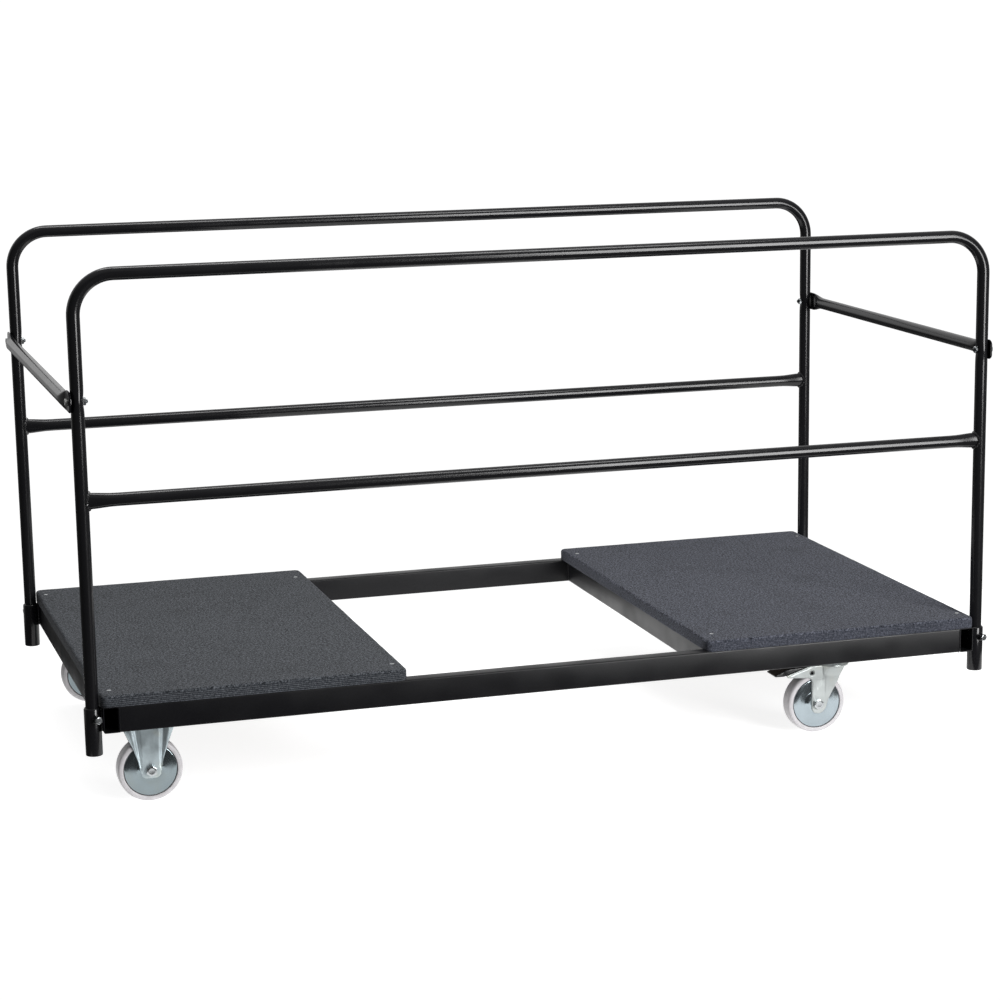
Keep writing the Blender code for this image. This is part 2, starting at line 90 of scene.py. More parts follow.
class Tree:
    """A node tree, with a short way to add nodes and links."""

    def __init__(self, tree):
        self.tree = tree

    def add(self, kind, inputs=None, **settings):
        node = self.tree.nodes.new(kind)
        for key, value in settings.items():
            setattr(node, key, value)
        for key, value in (inputs or {}).items():
            self.set(node.inputs[key], value)
        return node

    def set(self, socket, value):
        if isinstance(value, bpy.types.NodeSocket):
            self.tree.links.new(value, socket)
        else:
            socket.default_value = value

    def map_range(self, value, low, high, to_low, to_high):
        node = self.add(
            "ShaderNodeMapRange",
            {"Value": value, "From Min": low, "From Max": high, "To Min": to_low, "To Max": to_high},
        )
        return node.outputs["Result"]

    def math(self, operation, a, b=0.0):
        return self.add("ShaderNodeMath", {0: a, 1: b}, operation=operation).outputs[0]

    def split(self, vector):
        return self.add("ShaderNodeSeparateXYZ", {"Vector": vector}).outputs


class Nodes(Tree):
    """A new material's node tree. Its textures are laid out in object coordinates, in metres."""

    def __init__(self, name):
        self.material = bpy.data.materials.new(name)
        self.material.use_nodes = True
        super().__init__(self.material.node_tree)
        self.shader = self.tree.nodes["Principled BSDF"]
        self.position = self.add("ShaderNodeTexCoord").outputs["Object"]

    def base(self, **inputs):
        for key, value in inputs.items():
            self.set(self.shader.inputs[key.replace("_", " ")], value)

    def noise(self, scale, detail, roughness=0.5, vector=None):
        node = self.add(
            "ShaderNodeTexNoise",
            {"Scale": scale, "Detail": detail, "Roughness": roughness, "Vector": vector or self.position},
        )
        return node.outputs["Fac"]

    def stretch(self, factors):
        return self.add("ShaderNodeMapping", {"Vector": self.position, "Scale": factors}).outputs["Vector"]

    def ramp(self, value, *stops):
        node = self.add("ShaderNodeValToRGB", {"Fac": value})
        elements = node.color_ramp.elements
        while len(elements) < len(stops):
            elements.new(0.5)
        for element, (at, colour) in zip(elements, stops):
            element.position = at
            element.color = (*colour, 1)
        return node.outputs["Color"]

    def mix(self, factor, a, b, blend="MIX"):
        inputs = {"Factor": factor, "A": a, "B": b}
        return self.add("ShaderNodeMix", inputs, data_type="RGBA", blend_type=blend).outputs["Result"]

    def bump(self, height, distance, strength, normal=None):
        inputs = {"Height": height, "Distance": distance, "Strength": strength}
        if normal is not None:
            inputs["Normal"] = normal
        return self.add("ShaderNodeBump", inputs).outputs["Normal"]


def make_black_paint(name="gloss_black_coat", low=0.15, high=0.20, shine=0.42, painted_shade=None):
    """Powder coat: near black, with faint dust, and a roughness that drifts slowly between low and high.

    The painted shade is an axis, the place on it where the shine is least, where it is full, and the least
    shine: the shine dims along the axis, which paints shade on the duller end of the part.
    """
    m = Nodes(name)
    dust = m.noise(900, 3.0, 0.7)
    # Painted shade: the shine dims along one axis, so one end of the part reflects less light than the lamps
    # give it.
    if painted_shade:
        axis, least_at, full_at, least = painted_shade
        shine = m.map_range(m.split(m.position)[axis], least_at, full_at, least, shine)
    m.base(
        Base_Color=m.ramp(dust, (0.45, (0.006, 0.006, 0.007)), (0.80, (0.013, 0.013, 0.015))),
        Roughness=m.map_range(m.noise(14, 1.0), 0.35, 0.7, low, high),
        Specular_IOR_Level=shine,
    )
    return m.material


def make_zinc(name, colour, low, high, metallic=1.0, cloudy=1.0):
    """Zinc plate over pressed steel: cool grey, with cloudy gloss, warm stains and fine handling marks."""
    m = Nodes(name)
    cloud = m.noise(38, 3.0, 0.5)
    scratch = m.noise(500, 2.0, 0.6, m.stretch((1.0, 1.0, 0.12)))
    dark = tuple(c * (1 - 0.16 * cloudy) for c in colour)
    stain = (colour[0] * 1.06, colour[1] * 0.98, colour[2] * 0.86, 1)
    stained = m.map_range(m.noise(24, 2.0, 0.5), 0.56, 0.72, 0.0, 0.7 * cloudy)
    worn = m.math("ADD", cloud, m.math("MULTIPLY", scratch, 0.3))
    m.base(
        Base_Color=m.mix(stained, m.ramp(cloud, (0.35, dark), (0.65, colour)), stain),
        Roughness=m.map_range(worn, 0.45, 0.85, low, high),
        Normal=m.bump(scratch, 0.00002, 0.4, m.bump(cloud, 0.0001, 0.25)),
        Metallic=metallic,
    )
    return m.material


def make_speckled(name, patches, stops, grain, rough, pits):
    """Colour that varies in patches, with a fine grain in its roughness and its surface."""
    m = Nodes(name)
    fine = m.noise(*grain)
    m.base(
        Base_Color=m.ramp(m.noise(*patches), *stops),
        Roughness=m.map_range(fine, 0.3, 0.7, *rough),
        Normal=m.bump(fine, pits, 0.5),
    )
    return m.material


def make_carpet(name, dark, middle, light, ribs):
    """Needle-punched carpet: short fibres with paler and darker flecks, and ribs down its hanging edge."""
    m = Nodes(name)
    fibre = m.noise(600, 4.0, 0.8)
    tuft = m.noise(230, 4.0, 0.8)
    blend = m.math("ADD", m.math("MULTIPLY", fibre, 0.5), m.math("MULTIPLY", tuft, 0.5))
    # The hanging edge ends just under the deck's top: there the ribs stop and the flecks grow stronger.
    height = m.split(m.position)["Z"]
    edge = (DECK_TOP - 0.0050, DECK_TOP - 0.0038)
    rib_pitch = 0.0036
    wave = m.math("SINE", m.math("MULTIPLY", height, 2 * math.pi / rib_pitch))
    rib = m.math("MULTIPLY", wave, m.map_range(height, *edge, ribs, 0.0))
    contrast = m.map_range(height, *edge, 0.55, 1.2)
    fleck = m.math("MULTIPLY", m.math("SUBTRACT", blend, 0.5), contrast)
    level = m.math("ADD", m.math("ADD", fleck, 0.5), m.math("MULTIPLY", rib, 0.035))
    colour = m.ramp(level, (0.42, dark), (0.50, middle), (0.585, light))
    patch = m.map_range(m.noise(9, 3.0, 0.6), 0.3, 0.7, 0.86, 1.14)
    shade = m.ramp(patch, (0.0, (0, 0, 0)), (1.0, (1, 1, 1)))
    m.base(
        Base_Color=m.mix(1.0, colour, shade, "MULTIPLY"),
        Roughness=1.0,
        Normal=m.bump(level, 0.0010, 0.8),
        Specular_IOR_Level=0.08,
        Sheen_Weight=0.07,
        Sheen_Roughness=0.5,
    )
    return m.material


def make_wood():
    """Dark film-faced plywood, with its grain along the length."""
    m = Nodes("plywood")
    grain = m.noise(60, 4.0, 0.6, m.stretch((0.08, 1.0, 1.0)))
    m.base(
        Base_Color=m.ramp(grain, (0.35, (0.050, 0.036, 0.026)), (0.65, (0.085, 0.062, 0.045))),
        Roughness=0.7,
    )
    return m.material


def make_floor():
    """A matt white that glows enough to fade into the white background."""
    m = Nodes("floor_white")
    m.base(
        Base_Color=(0.55, 0.55, 0.55, 1),
        Roughness=0.9,
        Specular_IOR_Level=0.0,
        Emission_Color=(1, 1, 1, 1),
        Emission_Strength=0.84,
    )
    return m.material


BLACK = make_black_paint()
# The base frame's satin coat. Its shine dims towards the left end, which is painted shade.
RAIL = make_black_paint("gloss_black_coat_base_painted_shade", 0.30, 0.42, 0.32, ("X", -0.9, 0.5, 0.07))
# The end bars' coat. Its shine dims on the front tabs, which is painted shade.
END_BAR = make_black_paint("gloss_black_coat_end_bar_painted_shade", painted_shade=("Y", -0.424, -0.400, 0.04))
WELD = make_black_paint("gloss_black_coat_weld", 0.06, 0.10, 1.0)
ZINC = make_zinc("bright_zinc", (0.56, 0.585, 0.60), 0.13, 0.24)
# A near-black, rougher copy of the zinc, for the right end bar's bolts.
DARKENED_ZINC = make_zinc("bright_zinc_darkened", (0.09, 0.095, 0.10), 0.3, 0.45)
DISC = make_zinc("bright_zinc_disc", (0.42, 0.485, 0.52), 0.09, 0.15, cloudy=0.4)
# A darker copy of the disc zinc for the left wheels: painted shade.
SHADED_DISC = make_zinc("bright_zinc_disc_shaded", (0.27, 0.32, 0.34), 0.09, 0.15, cloudy=0.4)
FORK = make_zinc("bright_zinc_fork", (0.46, 0.49, 0.485), 0.32, 0.43, metallic=0.7, cloudy=0.5)
FIXED = make_zinc("bright_zinc_fixed", (0.52, 0.60, 0.63), 0.36, 0.48, cloudy=1.3)
NYLON = ((0.30, (0.45, 0.44, 0.45)), (0.62, (0.55, 0.535, 0.55)))
TYRE = make_speckled("grey_nylon_tyre", (60, 4.0, 0.7), NYLON, (420, 3.0, 0.6), (0.32, 0.46), 0.00006)
ENAMEL = ((0.4, (0.008, 0.008, 0.009)), (0.7, (0.016, 0.016, 0.018)))
PEDAL = make_speckled("black_enamel", (80, 3.0), ENAMEL, (500, 3.0), (0.24, 0.38), 0.00008)
CARPETS = {
    -1: make_carpet("carpet", (0.0068, 0.0082, 0.0102), (0.0455, 0.0500, 0.0575), (0.158, 0.168, 0.187), 1.0),
    1: make_carpet(
        "carpet_right", (0.009, 0.010, 0.0135), (0.0505, 0.0545, 0.069), (0.162, 0.171, 0.211), 0.3
    ),
}
WOOD = make_wood()
# The finish of each material slot. A variant's name starts with the name of the finish that stands here.
FINISHES = {
    "black_paint": BLACK,
    "zinc": ZINC,
    "grey_tyre": TYRE,
    "carpet": CARPETS[-1],
    "black_enamel": PEDAL,
    "plywood": WOOD,
}


# ---- shapes


def new_object(name, data):
    obj = bpy.data.objects.new(name, data)
    bpy.context.scene.collection.objects.link(obj)
    return obj


class Shape:
    """Gathers closed shells into one mesh."""

    def __init__(self):
        self.bm = bmesh.new()

    def skin(self, rings, wrap=False):
        """Joins each ring of points to the next. The end rings are filled unless the rings wrap round."""
        loops = [[self.bm.verts.new(p) for p in points] for points in rings]
        pairs = list(zip(loops, loops[1:] + loops[:1]))
        for near, far in pairs if wrap else pairs[:-1]:
            for i, vert in enumerate(near):
                self.bm.faces.new((near[i - 1], vert, far[i], far[i - 1]))
        if not wrap:
            self.bm.faces.new(loops[0])
            self.bm.faces.new(loops[-1])

    def place(self, name, material, body, nodes=(), sharp=38.0):
        """Turns the gathered shells into a piece that rides on a body and stands for CAD nodes."""
        bmesh.ops.recalc_face_normals(self.bm, faces=self.bm.faces)
        mesh = bpy.data.meshes.new(name)
        self.bm.to_mesh(mesh)
        self.bm.free()
        mesh.materials.append(material)
        mesh.shade_smooth()
        mesh.set_sharp_from_angle(angle=math.radians(sharp))
        obj = new_object(name, mesh)
        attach(obj, body)
        if nodes:
            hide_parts(*nodes)
        return obj


def circle(radius, count):
    turns = [2 * math.pi * i / count for i in range(count)]
    return [(radius * math.cos(t), radius * math.sin(t)) for t in turns]


def oval(half_u, half_v, count):
    return [(u * half_u, v * half_v) for u, v in circle(1.0, count)]


def quarter(cu, cv, radius, steps, first=0):
    """Points along a quarter turn round a centre. The first quarter starts at its right."""
    turns = [math.pi / 2 * (first + i / steps) for i in range(steps + 1)]
    return [(cu + radius * math.cos(t), cv + radius * math.sin(t)) for t in turns]


def rounded_box(width, height, radius):
    points = []
    for first, (su, sv) in enumerate(((1, 1), (-1, 1), (-1, -1), (1, -1))):
        points += quarter(su * (width / 2 - radius), sv * (height / 2 - radius), radius, 5, first)
    return points


def mirrored(points):
    """An arch: the points of its right half, then their mirror images back down the left."""
    return points + [(-u, v) for u, v in reversed(points)]


def ring(point, u_axis, v_axis, section):
    return [point + u * u_axis + v * v_axis for u, v in section]


def axes_for(direction):
    """Two axes square to a direction."""
    near = Y if abs(direction.y) < 0.9 else X
    v = direction.cross(near).normalized()
    return v.cross(direction), v


def lathe(shape, profile, centre, direction, count):
    """A profile (radius, height) turned round a direction. One that starts and ends at radius 0 is solid."""
    u, v = axes_for(direction)
    if profile[0][0] == 0:
        inner = profile[1:-1]
        shape.skin([ring(centre + h * direction, u, v, circle(r, count)) for r, h in inner])
        return
    rings = []
    for cu, cv in circle(1.0, count):
        rings.append([centre + h * direction + r * (cu * u + cv * v) for r, h in profile])
    shape.skin(rings, wrap=True)


def smooth(value):
    value = min(max(value, 0.0), 1.0)
    return value * value * (3 - 2 * value)


def wobble(point, scale, seed):
    return noise.noise(Vector(point) * scale + Vector((seed, 1.7 * seed, 0.3)))


def bead(shape, points, radius, seed, closed=False):
    """A lumpy weld bead along points that lie about a millimetre apart."""
    count, rings = len(points), []
    for i, point in enumerate(points):
        before = points[i - 1] if i or closed else point
        after = points[(i + 1) % count] if i + 1 < count or closed else point
        along = (after - before).normalized()
        u, v = axes_for(along)
        lump = 1 + 0.16 * math.cos(i * 2.1) + 0.30 * wobble(point, 160, seed)
        if not closed:
            lump *= 0.35 + 0.65 * smooth(min(i, count - 1 - i) / 2.5)
        rings.append(ring(point, u, v, circle(radius * lump, 8)))
    shape.skin(rings, wrap=closed)


def straight_bead(shape, start, run, radius, seed):
    """A weld bead from a start along a run."""
    start, run, pitch = Vector(start), Vector(run), 0.0012
    count = max(2, round(run.length / pitch))
    bead(shape, [start.lerp(start + run, i / count) for i in range(count + 1)], radius, seed)


# ---- fasteners


def hex_radius(across, turn):
    sector = math.pi / 3
    return across / 2 / math.cos((turn + sector / 2) % sector - sector / 2)


def hex_head(shape, across, height, seat, direction, roll, slope=28, dish=1.0):
    """A hexagon head with its chamfered, slightly dished top, standing on its seat along direction."""
    u, v = axes_for(direction)
    flat_r, fall = across * 0.475, math.tan(math.radians(slope))

    def level(place):
        """A ring round the head. place turns the hexagon's radius at a point into a radius and a height."""
        points = []
        for i in range(48):
            turn = 2 * math.pi * i / 48
            radius, rise = place(hex_radius(across, turn))
            outward = math.cos(turn + roll) * u + math.sin(turn + roll) * v
            points.append(seat + rise * direction + radius * outward)
        return points

    rings = [
        level(lambda r: (min(r, across * 0.53), 0.0)),
        level(lambda r: (r, 0.0004)),
        level(lambda r: (r, height - 0.0002 - (r - flat_r) * fall)),
        level(lambda r: (flat_r, height - 0.0001)),
        level(lambda r: (flat_r * 0.96, height)),
        level(lambda r: (flat_r * 0.62, height - 0.0002 * dish)),
        level(lambda r: (flat_r * 0.58, height - 0.0005 * dish)),
    ]
    shape.skin(rings)


def thread(shape, diameter, pitch, start, direction, length):
    """A threaded end as a stack of thread turns, with a chamfered tip."""
    profile, turns = [(0, 0), (diameter / 2, 0)], max(2, round(length / pitch))
    for i in range(turns):
        at = length * i / turns
        root = diameter / 2 - 0.6 * pitch * (1.0 if i < turns - 1 else 1.3)
        profile += [(diameter / 2, at + 0.1 * pitch), (root, at + 0.55 * pitch)]
    profile += [(diameter / 2 - pitch, length), (0, length)]
    lathe(shape, profile, start, direction, 24)


# ---- rail cage


def hoop_path(y):
    """Stations (point, outward) from one leg's foot, over the top, to the other leg's foot."""
    pinched = [END_BAR_Z + 0.004 * i for i in range(-8, 9)]
    heights = [LEG_FOOT, 0.30, 0.45, 0.60, 0.70] + pinched + [0.86]
    left = [(Vector((-LEG_X, y, z)), -X) for z in heights]
    right = [(Vector((LEG_X, y, z)), X) for z in reversed(heights)]
    over = []
    for side, first, last in ((-1, 180, 90), (1, 90, 0)):
        centre = Vector((side * (LEG_X - HOOP_BEND), y, HOOP_TOP - HOOP_BEND))
        for i in range(19):
            turn = math.radians(first + (last - first) * i / 18)
            outward = Vector((math.cos(turn), 0, math.sin(turn)))
            over.append((centre + HOOP_BEND * outward, outward))
        if side < 0:
            over += [(Vector((x, y, HOOP_TOP)), Z) for x in (-0.6, -0.3, 0.0, 0.3, 0.6)]
    return left + over + right


def hoop(name, face):
    """A bent tube, open at its feet."""
    shape, path, rings = Shape(), hoop_path(face * LEG_Y), []
    for point, outward in path:
        # Each leg is squeezed a little where the end bar's bolt pulls it together.
        squeeze = 0.0
        if abs(point.x) > LEG_X - 0.001:
            squeeze = math.exp(-(((point.z - END_BAR_Z) / 0.0125) ** 2))
        section = oval(TUBE_R * (1 - 0.15 * squeeze), TUBE_R * (1 + 0.06 * squeeze), 48)
        rings.append(ring(point, outward, Y, section))
    bore, deep = circle(TUBE_R - TUBE_WALL, 48), 0.03 * Z
    (first, first_out), (last, last_out) = path[0], path[-1]
    rings = [ring(first + deep, first_out, Y, bore), ring(first, first_out, Y, bore), *rings]
    rings += [ring(last, last_out, Y, bore), ring(last + deep, last_out, Y, bore)]
    shape.skin(rings)
    shape.place(name + "_hoop_tube", BLACK, CHASSIS, [name + "_hoop"])


def mid_rail(name, face):
    """A tube between the legs. Its ends are pinched a little taller and welded on."""
    shape, y, reach = Shape(), face * LEG_Y, LEG_X - 0.006
    inset = [0, 0.008, 0.016, 0.024, 0.034, 0.046, 0.062]
    places = [-reach + d for d in inset] + [-0.4, 0, 0.4] + [reach - d for d in reversed(inset)]
    rings = []
    for x in places:
        pinch = 1 - smooth((reach - abs(x) - 0.004) / 0.052)
        section = oval(TUBE_R * (1 - 0.14 * pinch), TUBE_R * (1 + 0.24 * pinch), 48)
        rings.append(ring(Vector((x, y, MID_RAIL_Z)), Y, Z, section))
    shape.skin(rings)
    shape.place(name + "_mid_tube", BLACK, CHASSIS, [name + "_mid_rail"])

    weld = Shape()
    for side in (-1, 1):
        points = []
        for u, v in oval(TUBE_R * 0.89, TUBE_R * 1.27, 72):
            on_leg = LEG_X - math.sqrt(TUBE_R**2 - u * u) - 0.0006
            points.append(Vector((side * on_leg, y + u, MID_RAIL_Z + v)))
        bead(weld, points, 0.0026, 3.0 + side + face, closed=True)
    weld.place(name + "_mid_welds", WELD, CHASSIS)


def squeezed(thin, tall):
    """The section of a tube pressed flat: two straight sides joined by round ends."""
    straight, section = tall - thin, []
    for end in (1, -1):
        for i in range(17):
            turn = math.pi * (i / 16 + (0 if end > 0 else 1))
            section.append((thin * math.cos(turn), end * straight + thin * math.sin(turn)))
        section += [(-end * thin, end * straight * (1 - 2 * i / 8)) for i in range(1, 8)]
    return section


def end_bar(name, side):
    """A tube whose ends are crushed flat, with clipped corners, against the legs."""
    shape, sign_x = Shape(), side * X
    tab_x, bar_x = LEG_X + 0.0149, LEG_X + 0.0165
    # Distance past the middle, centre, half thickness, half height
    half = [
        (0.380, bar_x, 0.0125, 0.0125),
        (0.392, bar_x, 0.0121, 0.0128),
        (0.402, bar_x, 0.0104, 0.0139),
        (0.412, bar_x - 0.0004, 0.0072, 0.0160),
        (0.421, tab_x + 0.0006, 0.0042, 0.0180),
        (0.428, tab_x, 0.0026, 0.0192),
        (0.434, tab_x, 0.0021, 0.0196),
        (0.456, tab_x, 0.0020, 0.0197),
        (0.4615, tab_x, 0.0020, 0.0168),
        (0.4640, tab_x, 0.0019, 0.0125),
    ]
    rows = [(-y, x, t, h) for y, x, t, h in reversed(half)] + [(0, bar_x, 0.0125, 0.0125)] + half
    rings = []
    for y, x, thin, tall in rows:
        rings.append(ring(Vector((side * x, y, END_BAR_Z)), sign_x, Z, squeezed(thin, tall)))
    shape.skin(rings)
    # The end bar's coat paints shade on its front tabs.
    shape.place(name + "_end_tube", END_BAR, CHASSIS, [name + "_end_bar"])
    for face_name, face in FACES:
        corner = f"{face_name}_{name}"
        leg = Vector((side * LEG_X, face * LEG_Y, END_BAR_Z))
        bolt, nut = Shape(), Shape()
        roll = 0.25 + 0.4 * face + 0.2 * side
        hex_head(bolt, M8_ACROSS, M8_HEAD, leg + 0.0171 * sign_x, sign_x, roll)
        thread(bolt, 0.0078, 0.00125, leg - 0.0120 * sign_x, -sign_x, 0.0075)
        hex_head(nut, M8_ACROSS, 0.0045, leg - 0.0114 * sign_x, -sign_x, 0.5 - roll)
        # The right end bar's bolts take the near-black copy of the zinc.
        bolt.place("bolt_end_bar_" + corner, ZINC if side < 0 else DARKENED_ZINC, CHASSIS, ["end_bar_bolt_" + corner])
        nut.place("nut_end_bar_" + corner, ZINC, CHASSIS, ["end_bar_nut_" + corner])


# ---- base


def box_tube(name, middle, half, node, waves, seed):
    """A rectangular tube with open ends. Its faces are very slightly wavy, as cold-formed tube is."""
    start, end, direction = middle - half, middle + half, half.normalized()
    side = Y if abs(direction.x) > 0.5 else X
    outer = rounded_box(RAIL_WIDE, RAIL_TALL, 0.0035)
    inner = rounded_box(RAIL_WIDE - 2 * RAIL_WALL, RAIL_TALL - 2 * RAIL_WALL, 0.0015)
    shape, rings = Shape(), []
    count = max(2, round((end - start).length / 0.012))
    for i in range(count + 1):
        point = start.lerp(end, i / count)
        loop = []
        for u, v in outer:
            spot = point + u * side + v * Z
            away = waves * wobble((spot.x * 0.25, spot.y * 0.25, spot.z * 1.6), 38, seed)
            loop.append(spot + away * (side if u > 0 else -side))
        rings.append(loop)
    deep = 0.12 * direction
    bore = [ring(p, side, Z, inner) for p in (start + deep, start, end, end - deep)]
    shape.skin([bore[0], bore[1], *rings, bore[2], bore[3]])
    shape.place(name, RAIL, CHASSIS, [node], sharp=50)


def base():
    """The welded frame of rectangular tube."""
    lift = RAIL_Z * Z
    for name, sign in FACES:
        middle = sign * LONG_RAIL_Y * Y + lift
        box_tube(name + "_long_tube", middle, 0.8637 * X, name + "_rail", 0.0004, 2 + sign)
    for name, sign in ENDS:
        middle = sign * END_RAIL_X * X + lift
        box_tube(name + "_end_tube_rail", middle, 0.474 * Y, name + "_end_rail", 0.00015, 5)
        middle = sign * CROSS_RAIL_X * X + lift
        box_tube(name + "_cross_tube", middle, 0.4437 * Y, name + "_cross_rail", 0.00015, 8)

    weld = Shape()
    for sx in (-1, 1):
        for sy in (-1, 1):
            # The long rail's end against the end rail: up both its sides, and across its top and bottom
            end_x, across = sx * 0.8640, -sy * 0.026 * Y
            straight_bead(weld, (end_x, sy * 0.4741, 0.1655), 0.046 * Z, 0.0013, sx * 4.0 + sy)
            straight_bead(weld, (end_x, sy * 0.472, 0.2132), across, 0.0011, sx * 9.0 + sy)
            straight_bead(weld, (end_x, sy * 0.472, 0.1629), across, 0.0013, sx * 6.0 + sy)
            straight_bead(weld, (sx * 0.8632, sy * 0.4435, 0.166), 0.044 * Z, 0.0022, sx * 2.0 + sy)
            # The cross rail's end against the long rail: up both its sides, and along under it
            for edge in (0.3197, 0.3503):
                straight_bead(weld, (sx * edge, sy * 0.4435, 0.166), 0.043 * Z, 0.0022, edge * 30 + sy)
            straight_bead(weld, (sx * 0.3215, sy * 0.4437, 0.1632), sx * 0.027 * X, 0.0016, sy * 7.0)
    weld.place("base_welds", RAIL, CHASSIS)


def socket(corner, side, face):
    """A round tube on the base's corner, with a nut welded to its outer side and a set bolt in the nut."""
    shape = Shape()
    centre = Vector((side * LEG_X, face * LEG_Y, 0.0))
    outer, inner = SOCKET_R, SOCKET_R - SOCKET_WALL
    profile = [
        (inner, 0.1180), (outer - 0.0015, 0.1180), (outer - 0.0004, 0.1186), (outer, 0.1200),
        (outer, 0.2075), (outer - 0.0008, 0.2092), (outer - 0.0022, 0.2100), (inner, 0.2100),
    ]
    lathe(shape, profile, centre, Z, 56)
    direction = Vector((-face * math.sin(SET_BOLT_LEAN), face * math.cos(SET_BOLT_LEAN), 0))
    axis, nut_roll = centre + SET_BOLT_Z * Z, 0.3
    hex_head(shape, M8_ACROSS, 0.0078, axis + 0.0150 * direction, direction, nut_roll)
    shape.place("socket_tube_" + corner, BLACK, CHASSIS, ["socket_" + corner])

    bolt = Shape()
    hex_head(bolt, M8_ACROSS, M8_HEAD, axis + 0.0228 * direction, direction, 0.15 + 0.2 * side)
    bolt.place("bolt_socket_" + corner, ZINC, CHASSIS, ["set_bolt_" + corner])

    weld = Shape()
    for around in (-1, 1):
        foot = (side * 0.8943, face * LEG_Y + around * 0.0052, 0.164)
        straight_bead(weld, foot, 0.045 * Z, 0.0030, around + side * 3.0 + face)
    # Round the nut, where it meets the tube
    u, v = axes_for(direction)
    points = []
    for i in range(40):
        turn = 2 * math.pi * i / 40
        radius = hex_radius(M8_ACROSS, turn - nut_roll) + 0.0004
        across, up = radius * math.cos(turn), radius * math.sin(turn)
        on_tube = math.sqrt(outer**2 - across**2)
        points.append(axis + on_tube * direction + across * u + up * v)
    bead(weld, points, 0.0016, 2.0 + side, closed=True)
    weld.place("socket_welds_" + corner, BLACK, CHASSIS)


# ---- decks


def marks(low, high, step, fine):
    """Grid lines from low to high: close together near both ends, then evenly spaced."""
    count = max(1, round((high - low - 2 * fine[-1]) / step))
    inner = [low + fine[-1] + (high - low - 2 * fine[-1]) * i / count for i in range(count + 1)]
    return [low + f for f in fine[:-1]] + inner + [high - f for f in reversed(fine[:-1])]


def carpet_point(p, low, high, on_face, seed):
    """Where a point of the deck's box lies on the carpet: round its corners and edges, worn and sagging."""
    corner_r, top_r, hem_r, nearly_none = 0.014, 0.0055, 0.0022, 1e-9
    # Round the plan corners, then the edges.
    inner = Vector([min(max(p[i], low[i] + corner_r), high[i] - corner_r) for i in (0, 1)])
    plan, outward = p.xy - inner, Vector((0, 0))
    if plan.length > nearly_none:
        outward = plan.normalized()
        plan *= max(abs(plan.x), abs(plan.y)) / plan.length
    depth = corner_r - plan.length
    r = top_r if p.z > (low.z + high.z) / 2 else hem_r
    core_z = min(max(p.z, low.z + r), high.z - r)
    q = (inner + plan).to_3d() + p.z * Z
    if depth < r and (on_face or p.z != core_z):
        across, up = (r - depth) / r, (p.z - core_z) / r
        scale = max(abs(across), abs(up)) / math.hypot(across, up)
        edge = inner + outward * (corner_r - r + across * scale * r)
        q = edge.to_3d() + (core_z + up * scale * r) * Z

    rim = smooth(1 - depth / 0.012)
    broad, small = wobble(q, 9, seed), wobble(q, 55, seed)
    if q.z > 0.222:
        q.z += (0.0004 * broad + 0.00025 * small - 0.0005) * (1 - 0.5 * rim)
    if rim > 0:
        sag = 0.0019 + 0.0007 * wobble((q.x, q.y, 0), 24, seed + 5)
        q.z -= rim * sag * smooth((0.2225 - q.z) / 0.008)
        q += outward.to_3d() * (0.00035 * wobble(q, 38, seed + 9) + 0.0002 * wobble(q, 140, seed) - 0.0004)
    return q


def deck_cover(name, side, seed):
    """Carpet stretched over the board, with rounded edges, turned under and left open beneath."""
    ends = sorted((side * DECK_INNER_X, side * DECK_OUTER_X))
    low = Vector((ends[0], -DECK_HALF_Y, DECK_LOW))
    high = Vector((ends[1], DECK_HALF_Y, DECK_TOP))
    fine = [0, 0.0011, 0.0024, 0.004, 0.0058, 0.008, 0.011, 0.015]
    xs, ys = marks(low.x, high.x, 0.0062, fine), marks(low.y, high.y, 0.0062, fine)
    zs = marks(low.z, high.z, 0.003, fine[:5])
    last_i, last_j, last_k = len(xs) - 1, len(ys) - 1, len(zs) - 1
    shape, made = Shape(), {}

    def vert(i, j, k):
        if (i, j, k) not in made:
            point = Vector((xs[i], ys[j], zs[k]))
            made[i, j, k] = shape.bm.verts.new(carpet_point(point, low, high, k in (0, last_k), seed))
        return made[i, j, k]

    def quad(*corners):
        shape.bm.faces.new([vert(*corner) for corner in corners])

    for i in range(last_i):
        for j in range(last_j):
            quad((i, j, last_k), (i + 1, j, last_k), (i + 1, j + 1, last_k), (i, j + 1, last_k))
            open_x = low.x + HEM < (xs[i] + xs[i + 1]) / 2 < high.x - HEM
            open_y = low.y + HEM < (ys[j] + ys[j + 1]) / 2 < high.y - HEM
            if not (open_x and open_y):
                quad((i, j, 0), (i, j + 1, 0), (i + 1, j + 1, 0), (i + 1, j, 0))
    for k in range(last_k):
        for i in range(last_i):
            quad((i, 0, k), (i + 1, 0, k), (i + 1, 0, k + 1), (i, 0, k + 1))
            quad((i + 1, last_j, k), (i, last_j, k), (i, last_j, k + 1), (i + 1, last_j, k + 1))
        for j in range(last_j):
            quad((0, j + 1, k), (0, j, k), (0, j, k + 1), (0, j + 1, k + 1))
            quad((last_i, j, k), (last_i, j + 1, k), (last_i, j + 1, k + 1), (last_i, j, k + 1))

    cover = shape.place(name + "_deck_cover", CARPETS[side], CHASSIS, [name + "_deck_carpet"], sharp=180)
    thick = cover.modifiers.new("thickness", "SOLIDIFY")
    thick.thickness, thick.offset = 0.0028, -1


def deck_screws(name, side):
    """Screws through the carpet near the corners, with sunk sockets in their heads."""
    screws = Shape()
    head = [(0, 0.0), (0.0030, 0.0), (0.0042, 0.0008), (0.0040, 0.0011), (0.0022, 0.0013), (0.0008, 0.0008)]
    for x, y in SCREWS[side]:
        lathe(screws, [*head, (0, 0.0008)], Vector((x, y, 0.2338)), Z, 20)
    screws.place(name + "_deck_screws", ZINC, CHASSIS)


# ---- pressed steel


